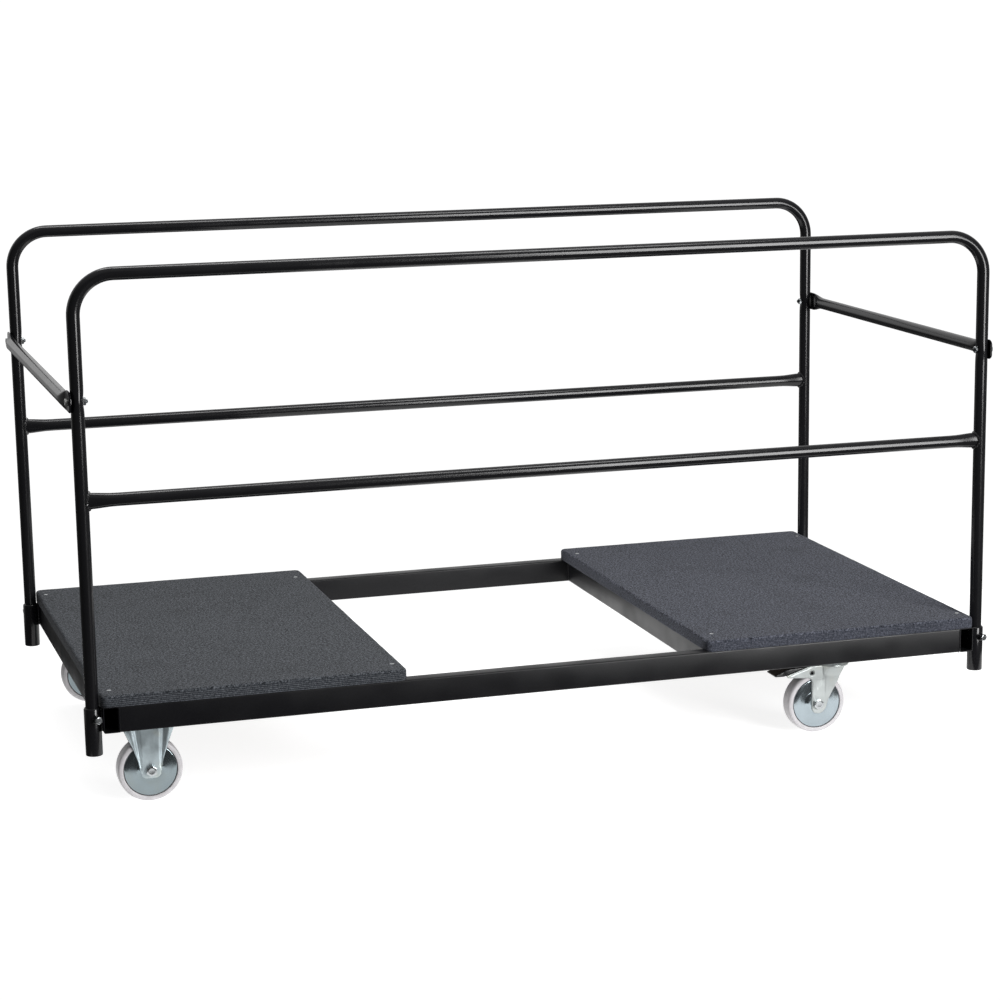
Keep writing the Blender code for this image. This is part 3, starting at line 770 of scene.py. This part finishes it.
def fillet(corners, pitch=0.0012):
    """A closed outline with rounded corners, from rows of (u, v, radius), at an even pitch."""
    count, dense = len(corners), []
    for i, (u, v, radius) in enumerate(corners):
        here = Vector((u, v))
        before, after = Vector(corners[i - 1][:2]) - here, Vector(corners[(i + 1) % count][:2]) - here
        half = before.angle(after) / 2
        if half > math.pi / 2 - 0.01:
            dense.append(here)
            continue
        reach = min(radius / math.tan(half), 0.49 * before.length, 0.49 * after.length)
        radius = reach * math.tan(half)
        middle = (before.normalized() + after.normalized()).normalized()
        centre = here + middle * (radius / math.sin(half))
        start = here + reach * before.normalized() - centre
        end = here + reach * after.normalized() - centre
        first, last = math.atan2(start.y, start.x), math.atan2(end.y, end.x)
        sweep = (last - first + math.pi) % (2 * math.pi) - math.pi
        for k in range(13):
            turn = first + sweep * k / 12
            dense.append(centre + radius * Vector((math.cos(turn), math.sin(turn))))
    lengths = [(dense[(i + 1) % len(dense)] - p).length for i, p in enumerate(dense)]
    number = max(8, round(sum(lengths) / pitch))
    points, i, gone = [], 0, 0.0
    for k in range(number):
        at = sum(lengths) * k / number
        while gone + lengths[i] < at:
            gone += lengths[i]
            i += 1
        points.append(dense[i].lerp(dense[(i + 1) % len(dense)], (at - gone) / max(lengths[i], 1e-9)))
    return points


def inset(loop, distance):
    """A loop moved by a distance to its left, which is inwards when it runs anticlockwise."""
    moved = []
    for i, point in enumerate(loop):
        along = (loop[(i + 1) % len(loop)] - loop[i - 1]).normalized()
        moved.append(point + distance * Vector((-along.y, along.x)))
    return moved


def depth_in(points, loops):
    """How far each point lies from the nearest edge: positive in the steel, negative outside it."""
    p = np.array([tuple(q) for q in points])[:, None, :]
    nearest, crossings = np.full(len(p), 9.0), np.zeros(len(p), int)
    for loop in loops:
        a = np.array([tuple(q) for q in loop])[None]
        b = np.roll(a, -1, axis=1)
        along = b - a
        t = np.clip(((p - a) * along).sum(2) / np.maximum((along**2).sum(2), 1e-18), 0, 1)
        nearest = np.minimum(nearest, np.linalg.norm(p - a - t[..., None] * along, axis=2).min(1))
        spans = (a[..., 1] > p[..., 1]) != (b[..., 1] > p[..., 1])
        rise = np.where(along[..., 1] == 0, 1e-12, along[..., 1])
        hit = a[..., 0] + (p[..., 1] - a[..., 1]) * along[..., 0] / rise
        crossings += (spans & (p[..., 0] < hit)).sum(1)
    return np.where(crossings % 2 == 1, nearest, -nearest)


def press(outline, holes, depths, pitch=0.0017):
    """A flat blank cut to an outline: its points (u, v), each one's depth from the edge, its triangles."""
    loops = [outline] + [hole[::-1] for hole in holes]
    points, edges = [], []
    for loop in loops:
        for depth in depths:
            start, row = len(points), inset(loop, depth)
            points += row
            edges += [(start + i, start + (i + 1) % len(row)) for i in range(len(row))]
    low_u, high_u = min(p.x for p in outline), max(p.x for p in outline)
    low_v, high_v = min(p.y for p in outline), max(p.y for p in outline)
    grid = []
    for j in range(int((high_v - low_v) / (pitch * 0.87)) + 1):
        for i in range(int((high_u - low_u) / pitch) + 1):
            grid.append(Vector((low_u + (i + 0.5 * (j % 2)) * pitch, low_v + j * pitch * 0.87)))
    inner = depth_in(grid, loops) > depths[-1] + 0.55 * pitch
    points += [p for p, keep in zip(grid, inner) if keep]
    flat, _, faces, *_ = delaunay_2d_cdt(points, edges, [], 0, 1e-7)
    middles = [sum((flat[i] for i in face), Vector((0, 0))) / 3 for face in faces]
    keep = depth_in(middles, loops) > 0
    return flat, np.maximum(depth_in(flat, loops), 0), [f for f, k in zip(faces, keep) if k]


def plate(shape, blank, height, place):
    """Raises a blank into a solid plate. height gives its outer and inner faces; place sets it in space."""
    flat, depths, faces = blank
    outer, inner = {}, {}
    for i in {i for face in faces for i in face}:
        high, low = height(flat[i].x, flat[i].y, float(depths[i]))
        outer[i] = shape.bm.verts.new(place(flat[i].x, flat[i].y, high))
        inner[i] = shape.bm.verts.new(place(flat[i].x, flat[i].y, low))
    edges = {}
    for face in faces:
        shape.bm.faces.new([outer[i] for i in face])
        shape.bm.faces.new([inner[i] for i in reversed(face)])
        edges.update(dict.fromkeys(zip(face, face[1:] + face[:1])))
    for a, b in edges:
        if (b, a) not in edges:
            shape.bm.faces.new([outer[b], outer[a], inner[a], inner[b]])


def rolled(depth, radius):
    """How far a rounded edge has dropped at a depth from the edge."""
    short = max(radius - depth, 0.0)
    return radius - math.sqrt(max(radius * radius - short * short, 0.0))


# ---- casters


def wheel(corner, x, y, body):
    """Nylon tyre on a steel core, turned round the axle."""
    centre = Vector((x, y, AXLE_Z))
    tyre = Shape()
    # Radius and distance from the middle plane, from the bore to the middle of the tread
    half = [
        (0.0200, 0.0135), (0.0497, 0.0135), (0.0504, 0.0105), (0.0521, 0.0105), (0.0523, 0.0168),
        (0.0529, 0.0173), (0.0545, 0.0175), (0.0566, 0.0174), (0.0586, 0.0171), (0.0600, 0.0163),
        (0.0611, 0.0151), (0.0618, 0.0136), (0.0622, 0.0115), (0.0624, 0.0070), (0.0625, 0.0009),
        (0.0623, 0.0002),
    ]
    lathe(tyre, half + [(r, -h) for r, h in reversed(half)], centre, Y, 96)
    tyre.place("tyre_tread_" + corner, TYRE, body, ["tyre_" + corner], sharp=44)

    core = Shape()
    disc = [
        (0.0050, 0.0160), (0.0060, 0.0191), (0.0150, 0.0194), (0.0205, 0.0192), (0.0220, 0.0187),
        (0.0236, 0.0178), (0.0255, 0.0169), (0.0275, 0.0166), (0.0400, 0.0165), (0.0492, 0.0166),
        (0.0501, 0.0164), (0.0506, 0.0158), (0.0508, 0.0149), (0.0507, 0.0120), (0.0050, 0.0120),
    ]
    for side in (-1, 1):
        lathe(core, disc, centre, side * Y, 96)
    # The left wheels' discs take the darker copy of the zinc, which is painted shade.
    core.place("wheel_disc_" + corner, SHADED_DISC if x < 0 else DISC, body, ["wheel_core_" + corner], sharp=44)


def axle(corner, x, y, outward, body):
    """The axle bolt and its locking nut, one each side of the fork."""
    seat = FORK_FACE + 0.0003
    for node, face, height in (("bolt", outward, 0.0075), ("nut", -outward, 0.0095)):
        shape = Shape()
        foot = Vector((x, y + face * seat, AXLE_Z))
        hex_head(shape, AXLE_ACROSS, height, foot, face * Y, 0.35 + 0.5 * face, slope=16, dish=0.1)
        if node == "nut":
            thread(shape, 0.0117, 0.00175, foot + face * 0.0088 * Y, face * Y, 0.0032)
        else:
            shape.skin([ring(foot - face * d * Y, X, Z, circle(0.0058, 24)) for d in (-0.0010, 0.046)])
        shape.place(f"{node}_axle_{corner}", ZINC, body, [f"axle_{node}_{corner}"])


def top_plate(shape, x, y):
    """The square plate against the channel, with rounded corners and edges."""
    half_x, half_y, thick, edge_r, top_z = 0.0525, 0.0425, 0.004, 0.0008, 0.1627
    corners = [(u * half_x, v * half_y, 0.006) for u, v in ((-1, -1), (1, -1), (1, 1), (-1, 1))]
    blank = press(fillet(corners, 0.0025), [], (0.0, 0.0003, 0.0008), 0.012)
    plate(
        shape,
        blank,
        lambda u, v, depth: (-rolled(depth, edge_r), rolled(depth, edge_r) - thick),
        lambda u, v, out: Vector((x + u, y + v, top_z + out)),
    )


def plate_welds(name, x, y):
    """Two short beads along each long side of a top plate."""
    weld = Shape()
    for v in (-0.0431, 0.0431):
        for u in (-0.035, 0.012):
            straight_bead(weld, (x + u, y + v, 0.1615), 0.024 * X, 0.0014, u * 90 + v)
    weld.place("plate_welds_" + name, BLACK, CHASSIS)


def fork_sides(fork, blank, height, x, y):
    for side in (-1, 1):
        plate(fork, blank, height, lambda u, v, out: Vector((x + u, y + side * (FORK_FACE + out), v)))


def rigid_blank():
    """The side of a fixed fork: rows of (across, up, radius), mirrored."""
    right = [
        (0.0105, 0.0470, 0.0110), (0.0180, 0.0510, 0.0100), (0.0205, 0.0610, 0.0150),
        (0.0240, 0.0820, 0.0300), (0.0315, 0.1030, 0.0500), (0.0360, 0.1150, 0.0500),
        (0.0470, 0.1410, 0.0500), (0.0490, 0.1500, 0.0010),
    ]
    outline = fillet(right + [(-u, v, r) for u, v, r in reversed(right)])
    return press(outline, [], EDGE_STEPS)


def rigid_height(u, v, depth):
    """A flat middle between two tapering grooves, each with a raised fold outside it, and turned edges."""
    across = abs(u)
    outer = -rolled(depth, 0.0022 if v > 0.056 else 0.0013)
    inner = -STEEL
    begin, up = 0.0165, max(0.0, min(1.0, (v - 0.060) / 0.080))
    reach = begin + 0.0030 + 0.0165 * up
    strength = smooth((v - 0.060) / 0.012)
    if begin < across < reach:
        groove = min(0.0028, 0.24 * (reach - begin)) * strength
        wave = math.sin(math.pi * (across - begin) / (reach - begin)) ** 2
        outer -= groove * wave
        inner -= 0.5 * groove * wave
    turned = smooth((across - reach - 0.0012) / 0.0095)
    outer -= 0.0045 * strength * turned
    inner -= 0.0036 * strength * smooth((across - reach) / 0.0110)
    outer += 0.00012 * wobble((u, v, 0.0), 60, 3.0)
    return outer, min(inner, outer - 0.0012)


def rigid_caster(name, face):
    corner, y = name + "_left", face * CASTER_Y
    fork = Shape()
    fork_sides(fork, RIGID_BLANK, rigid_height, RIGID_X, y)
    # The saddle that joins both sides over the wheel: its outer arch, then its inner one
    arches = []
    for half, top, radius in ((0.0228, 0.1590, 0.0060), (0.0200, 0.1560, 0.0032)):
        arches.append(mirrored([(half, 0.1485), *quarter(half - radius, top - radius, radius, 6)]))
    section = arches[0] + arches[1][::-1]
    middle = Vector((RIGID_X, y, 0))
    fork.skin([ring(middle + x * X, Y, Z, section) for x in (-0.049, -0.0485, 0.0485, 0.049)])
    top_plate(fork, RIGID_X, y)
    fork.place("fork_fixed_" + corner, FIXED, CHASSIS, ["rigid_fork_" + corner], sharp=44)
    plate_welds(corner, RIGID_X, y)
    wheel(corner, RIGID_X, y, "wheel_" + corner)
    axle(corner, RIGID_X, y, face, CHASSIS)


def swivel_blank():
    """The side of a swivel fork, seen from the front: its arm hangs from a brow that runs out to the left."""
    outline = [
        (-0.0124, 0.0500, 0.0100), (-0.0060, 0.0415, 0.0080), (0.0090, 0.0415, 0.0110),
        (0.0180, 0.0505, 0.0120), (0.0250, 0.0720, 0.0400), (0.0365, 0.0940, 0.0500),
        (0.0430, 0.1070, 0.0300), (0.0490, 0.1250, 0.0300), (0.0570, 0.1430, 0.0010),
        (-0.0204, 0.1430, 0.0300), (-0.0700, 0.1272, 0.0012), (-0.0660, 0.1220, 0.0020),
        (-0.0130, 0.1175, 0.0080),
    ]
    hole = [Vector((PIVOT_X + u, PIVOT_Z + v)) for u, v in circle(0.0050, 28)]
    return press(fillet(outline), [hole], EDGE_STEPS)


def inside_triangle(u, v, corners):
    """How far inside a triangle's nearest side a point lies."""
    depths = []
    for i, (bu, bv) in enumerate(corners):
        au, av = corners[i - 1]
        cross = (bu - au) * (v - av) - (bv - av) * (u - au)
        depths.append(-cross / math.hypot(bu - au, bv - av))
    return min(depths)


def swivel_height(u, v, depth):
    """One side of the fork: a pressed dimple under the brake pin, turned edges, a flare into the crown."""
    in_arm = v < 0.1165 and u < 0.0
    outer, inner = -rolled(depth, 0.0024 if in_arm else 0.0014), -STEEL
    if in_arm:
        inner -= (0.0006 + 0.0024 * smooth((v - 0.086) / 0.012)) * (1 - smooth(depth / 0.0034))
    outer -= 0.0007 * smooth(inside_triangle(u, v, DIMPLE) / 0.0042)
    # Shallow fold down the middle, and a groove just under the slanted top of the brow
    outer -= 0.0005 * math.exp(-(((u - 0.0150) / 0.0016) ** 2)) * smooth((v - 0.070) / 0.02)
    top_line = 0.1430 + (u + 0.0204) * 0.319
    if u < -0.012:
        outer -= 0.0008 * math.exp(-(((top_line - v - 0.0030) / 0.0008) ** 2))
    # The upper part swells out to meet the round crown above it
    chord = math.sqrt(max(0.0355**2 - (u - TRAIL) ** 2, 0.0))
    rising = 0.35 * smooth((v - 0.080) / 0.05) + 0.65 * smooth((v - 0.118) / 0.023)
    swell = max(0.0, chord - FORK_FACE) * rising
    outer += swell + 0.00010 * wobble((u, v, 0.0), 60, 7.0)
    inner += swell
    return outer, min(inner, outer - 0.0012)


def swivel_caster(name, face):
    corner, y = name + "_right", face * CASTER_Y
    body, axle_x = "swivel_" + corner, SWIVEL_X - TRAIL
    centre = Vector((SWIVEL_X, y, 0))
    fork = Shape()
    fork_sides(fork, SWIVEL_BLANK, swivel_height, axle_x, y)
    crown = [
        (0.0068, 0.1430), (0.0280, 0.1430), (0.0325, 0.1410), (0.0350, 0.1395), (0.0362, 0.1396),
        (0.0368, 0.1408), (0.0366, 0.1430), (0.0352, 0.1452), (0.0325, 0.1468), (0.0290, 0.1478),
        (0.0250, 0.1480), (0.0068, 0.1480),
    ]
    lathe(fork, crown, centre, Z, 72)
    fork.place("fork_turning_" + corner, FORK, body, ["swivel_fork_" + corner], sharp=44)

    head = Shape()
    top_plate(head, SWIVEL_X, y)
    race = [
        (0.0075, 0.1592), (0.0350, 0.1592), (0.0352, 0.1570), (0.0346, 0.1545), (0.0330, 0.1515),
        (0.0305, 0.1495), (0.0270, 0.1487), (0.0075, 0.1487),
    ]
    lathe(head, race, centre, Z, 72)
    head.place("head_plate_" + corner, ZINC, CHASSIS, ["swivel_plate_" + corner], sharp=44)
    plate_welds(corner, SWIVEL_X, y)
    pin = Shape()
    rivet = [(0, 0.1368), (0.0070, 0.1368), (0.0098, 0.1376), (0.0109, 0.1392), (0.0110, 0.1425)]
    rivet += [(0.0059, 0.1427), (0.0059, 0.1622), (0.0052, 0.1627), (0, 0.1627)]
    lathe(pin, rivet, centre, Z, 36)
    pin.place("rivet_swivel_" + corner, ZINC, CHASSIS, ["kingpin_" + corner])

    wheel(corner, axle_x, y, "wheel_" + corner)
    axle(corner, axle_x, y, face, body)
    pedal(corner, axle_x + PIVOT_X, y)


def pedal(corner, x, y):
    """A foot lever folded from sheet: a channel open below, wider past the fork, with a closed tip."""
    lever = Shape()
    # Distance from the pin, top, lower edge, half width, how solid the section is
    stations = [
        (0.0050, 0.0105, 0.0003, 0.0176, 1.0),
        (0.0044, 0.0112, -0.0004, 0.0179, 1.0),
        (0.0020, 0.0122, -0.0020, 0.0180, 0.0),
        (-0.0060, 0.0134, -0.0023, 0.0180, 0.0),
        (-0.0200, 0.0134, -0.0022, 0.0180, 0.0),
        (-0.0460, 0.0124, -0.0022, 0.0180, 0.0),
        (-0.0570, 0.0101, -0.0022, 0.0181, 0.0),
        (-0.0592, 0.0097, -0.0022, 0.0192, 0.0),
        (-0.0612, 0.0093, -0.0022, 0.0212, 0.0),
        (-0.0640, 0.0084, -0.0021, 0.0219, 0.0),
        (-0.0680, 0.0069, -0.0020, 0.0220, 0.0),
        (-0.0730, 0.0047, -0.0019, 0.0220, 0.5),
        (-0.0780, 0.0026, -0.0018, 0.0219, 1.0),
        (-0.0808, 0.0014, -0.0016, 0.0216, 1.0),
        (-0.0819, 0.0006, -0.0011, 0.0211, 1.0),
    ]
    rings = []
    for along, top, low, half, solid in stations:
        radius = min(0.0030, 0.45 * (top - low))
        wall = min(0.0022, radius * 0.8)
        inner_r = max(radius - wall, 0.0003)
        roof = top - wall - (top - wall - low - 0.0001) * solid
        outer = [(half, low), *quarter(half - radius, top - radius, radius, 5)]
        inner = [(half - wall, low)]
        for u, v in quarter(half - wall - inner_r, roof - inner_r, inner_r, 5):
            inner.append((u, max(low, v)))
        section = mirrored(outer) + mirrored(inner)[::-1]
        rings.append([Vector((x + along, y + u, PIVOT_Z + v)) for u, v in section])
    lever.skin(rings)
    lever.place("lever_brake_" + corner, PEDAL, "pedal_" + corner, ["brake_pedal_" + corner], sharp=50)
    # A hollow pin, spread at both ends
    pin = Shape()
    bore, barrel = 0.0031, 0.0046
    profile = [(bore, -0.0224), (bore + 0.0004, -0.0229), (barrel - 0.0004, -0.0229), (barrel, -0.0222)]
    profile += [(r, -h) for r, h in reversed(profile)]
    profile += [(bore, 0.004), (0.0004, 0.0038), (0.0004, -0.0038), (bore, -0.004)]
    lathe(pin, profile, Vector((x, y, PIVOT_Z)), Y, 32)
    pin.place("pin_brake_" + corner, ZINC, "pedal_" + corner)


RIGID_BLANK, SWIVEL_BLANK = rigid_blank(), swivel_blank()


# ---- CAD nodes


def dress_cad():
    """Every CAD node that stays in view gets the finish of its material slot."""
    for part in frame["record"]["subparts"]:
        node = frame["nodes"][part["node"]]
        node.data.materials.clear()
        node.data.materials.append(FINISHES[part["material_slot"]])


# ---- studio


def area_light(name, location, target, width, height, power):
    data = bpy.data.lights.new(name, "AREA")
    data.shape = "RECTANGLE"
    data.size, data.size_y, data.energy = width, height, power
    light = new_object(name, data)
    light.location = location
    light.rotation_euler = (Vector(target) - Vector(location)).to_track_quat("-Z", "Y").to_euler()


def room():
    """A dim room, bright behind the object, most of all above the horizon. The camera sees plain white."""
    world = bpy.data.worlds.new("studio")
    bpy.context.scene.world = world
    world.use_nodes = True
    sky = Tree(world.node_tree)
    parts = sky.split(sky.add("ShaderNodeTexCoord").outputs["Generated"])
    dim = sky.map_range(parts["Z"], -0.20, -0.15, 0.0, 0.35)
    full = sky.map_range(parts["Z"], -0.01, 0.03, 0.0, 0.40)
    behind = sky.math("MULTIPLY", sky.map_range(parts["Y"], 0.05, 0.6, 0.0, 1.0), sky.math("ADD", dim, full))
    right = sky.map_range(parts["X"], 0.1, 0.6, 0.07, 0.14)
    above = sky.map_range(parts["Z"], 0.4, 1.0, 0.0, 0.35)
    level = sky.math("MAXIMUM", behind, sky.math("ADD", right, above))
    lit = world.node_tree.nodes["Background"]
    sky.set(lit.inputs["Color"], (1, 1, 1, 1))
    sky.set(lit.inputs["Strength"], level)
    white = sky.add("ShaderNodeBackground", {"Color": (1, 1, 1, 1), "Strength": 1.05})
    seen = sky.add("ShaderNodeLightPath").outputs["Is Camera Ray"]
    both = sky.add("ShaderNodeMixShader", {0: seen, 1: lit.outputs[0], 2: white.outputs[0]})
    sky.set(world.node_tree.nodes["World Output"].inputs["Surface"], both.outputs[0])


def floor():
    """A small pale floor that catches the wheels' shadows."""
    mesh = bpy.data.meshes.new("floor")
    corners = [(-1.09, -0.605, 0), (1.5, -0.665, 0), (1.5, 0.95, 0), (-0.90, 0.95, 0)]
    mesh.from_pydata(corners, [], [(0, 1, 2, 3)])
    mesh.materials.append(make_floor())
    new_object("floor", mesh)


def studio():
    """The room, its floor, and softboxes overhead and at the front right."""
    bpy.context.scene.view_settings.view_transform = "Standard"
    room()
    floor()
    area_light("overhead", (0.1, 0.1, 4.4), (0, 0, 0.4), 4.4, 0.7, 75)
    area_light("front_right", (2.3, -4.7, 1.75), (0.3, -0.2, 1.0), 1.8, 3.5, 262)


def camera():
    """The photo's camera: its place, how far it is turned, tipped down and rolled, and its lens."""
    place, turned, tipped, rolled_by = (-1.5663, -5.2880, 1.5272), -18.035, 12.285, -0.613
    data = bpy.data.cameras.new("camera")
    data.lens, data.sensor_width = 96.157, 36.0
    data.shift_x, data.shift_y = -0.06, 0.06
    data.clip_end = 60
    obj = new_object("camera", data)
    aim = (
        Matrix.Rotation(math.radians(turned), 4, "Z")
        @ Matrix.Rotation(math.radians(90 - tipped), 4, "X")
        @ Matrix.Rotation(math.radians(rolled_by), 4, "Z")
    )
    obj.matrix_world = Matrix.Translation(place) @ aim
    bpy.context.scene.camera = obj


dress_cad()
for face_name, face in FACES:
    hoop(face_name, face)
    mid_rail(face_name, face)
for end_name, end in ENDS:
    end_bar(end_name, end)
    deck_cover(end_name, end, seed=11.0 + 5 * end)
    deck_screws(end_name, end)
    for face_name, face in FACES:
        socket(f"{face_name}_{end_name}", end, face)
for face_name, face in FACES:
    rigid_caster(face_name, face)
    swivel_caster(face_name, face)
base()
studio()
camera()

bpy.context.view_layer.update()
